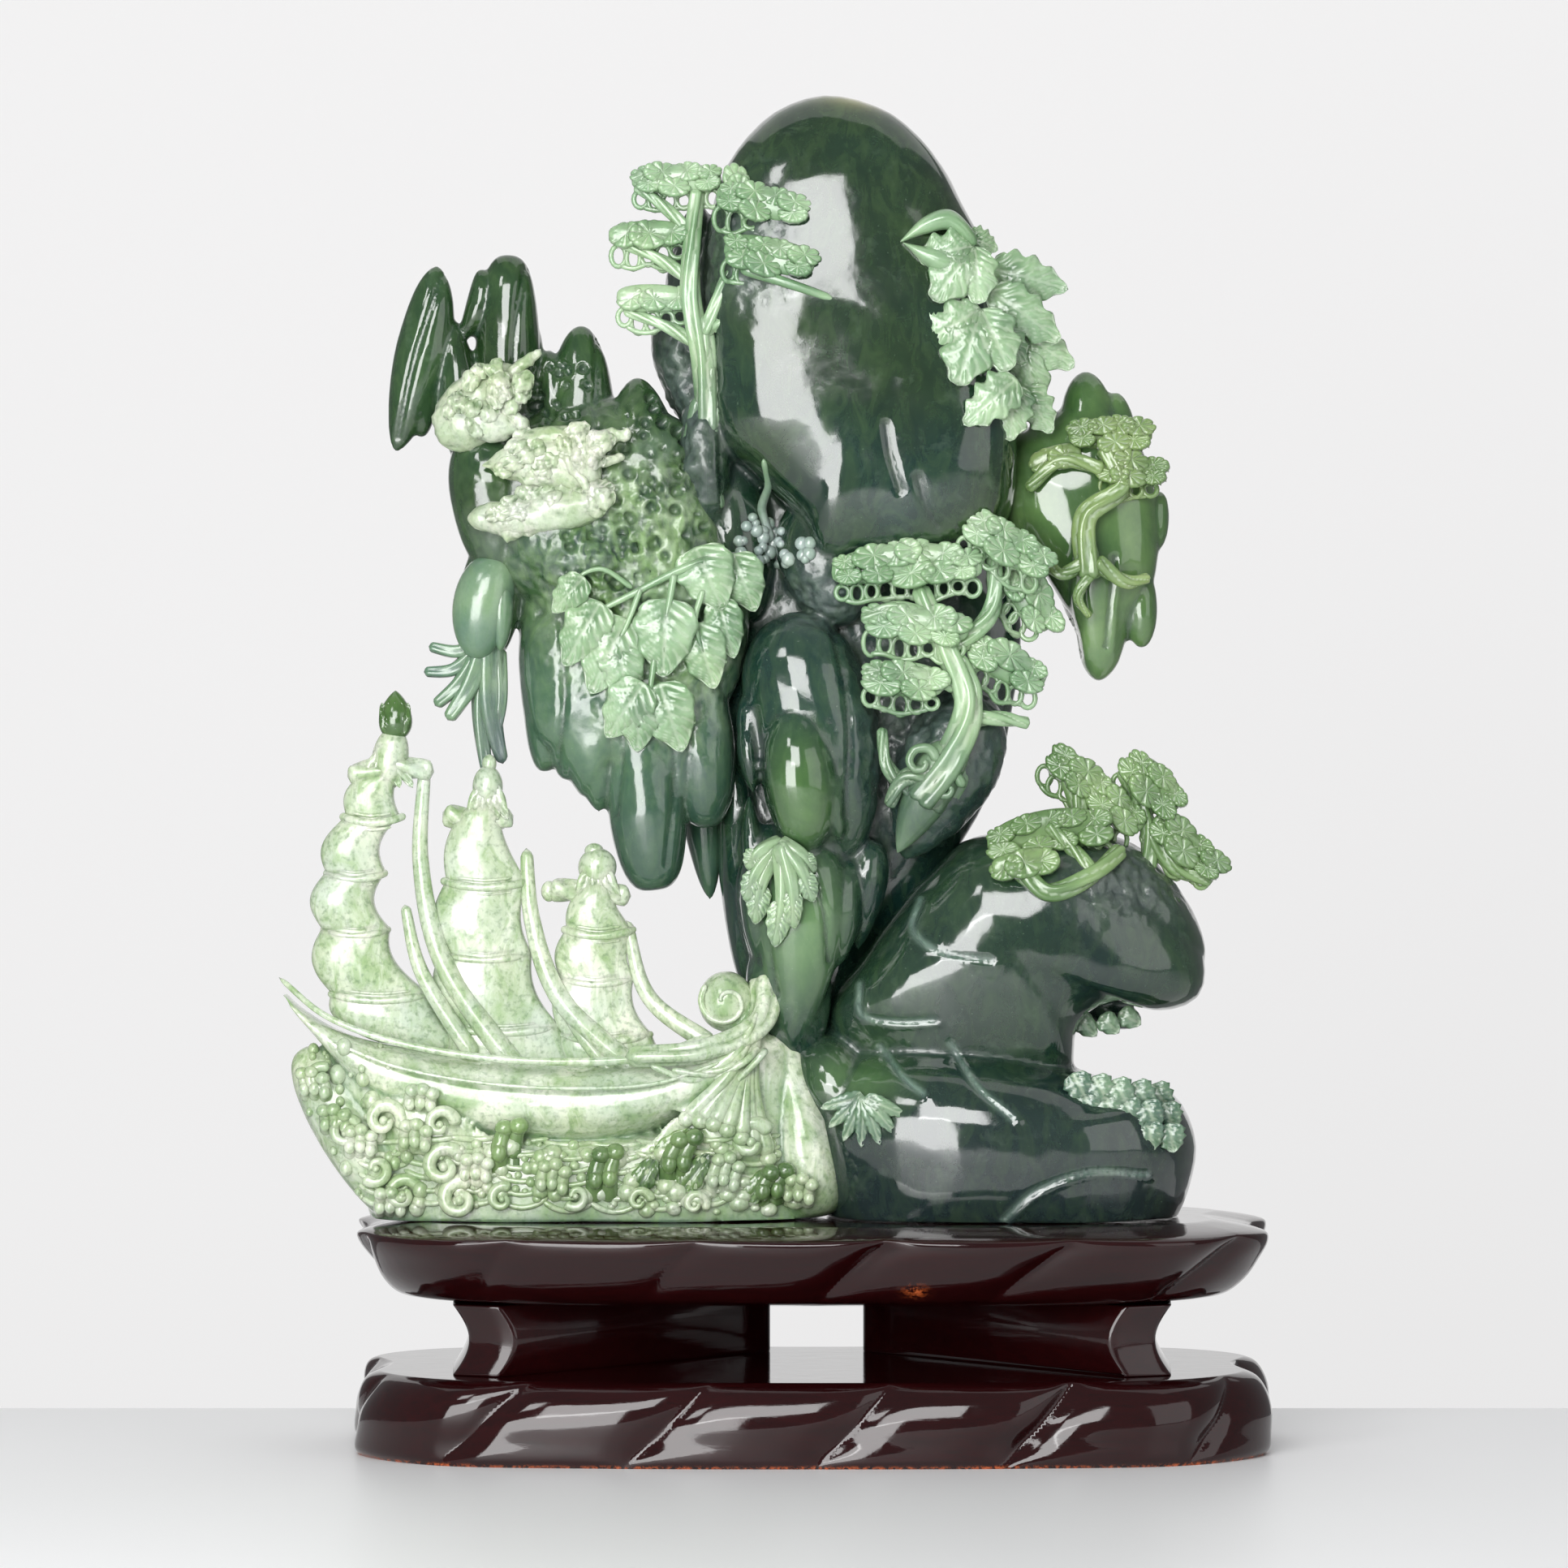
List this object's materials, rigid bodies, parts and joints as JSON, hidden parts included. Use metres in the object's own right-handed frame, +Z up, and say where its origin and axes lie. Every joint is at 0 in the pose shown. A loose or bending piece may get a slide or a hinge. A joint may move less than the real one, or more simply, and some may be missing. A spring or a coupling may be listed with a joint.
{
  "type": "jade mountain carving on a stand",
  "caption": "Free-standing green jade mountain carving with a sailing boat, waves, pines, leaves and cranes, seated on a two-tier carved dark red lacquered wood stand.",
  "frame": {"origin": "on the floor at the middle of the stand's underside", "axes": "+Z up, +X to the viewer's right, the carved front faces -Y"},
  "size_m": [0.4297, 0.1842, 0.5813],
  "materials": {
    "jade": "polished dark green to pale mottled jade with matt carved recesses",
    "lacquered_wood": "very dark red brown high gloss lacquer"
  },
  "bodies": {
    "root": {"jade_mountain": "jade", "stand_top": "lacquered_wood", "stand_waist_left": "lacquered_wood", "stand_waist_right": "lacquered_wood", "stand_base": "lacquered_wood"}
  },
  "joints": []
}
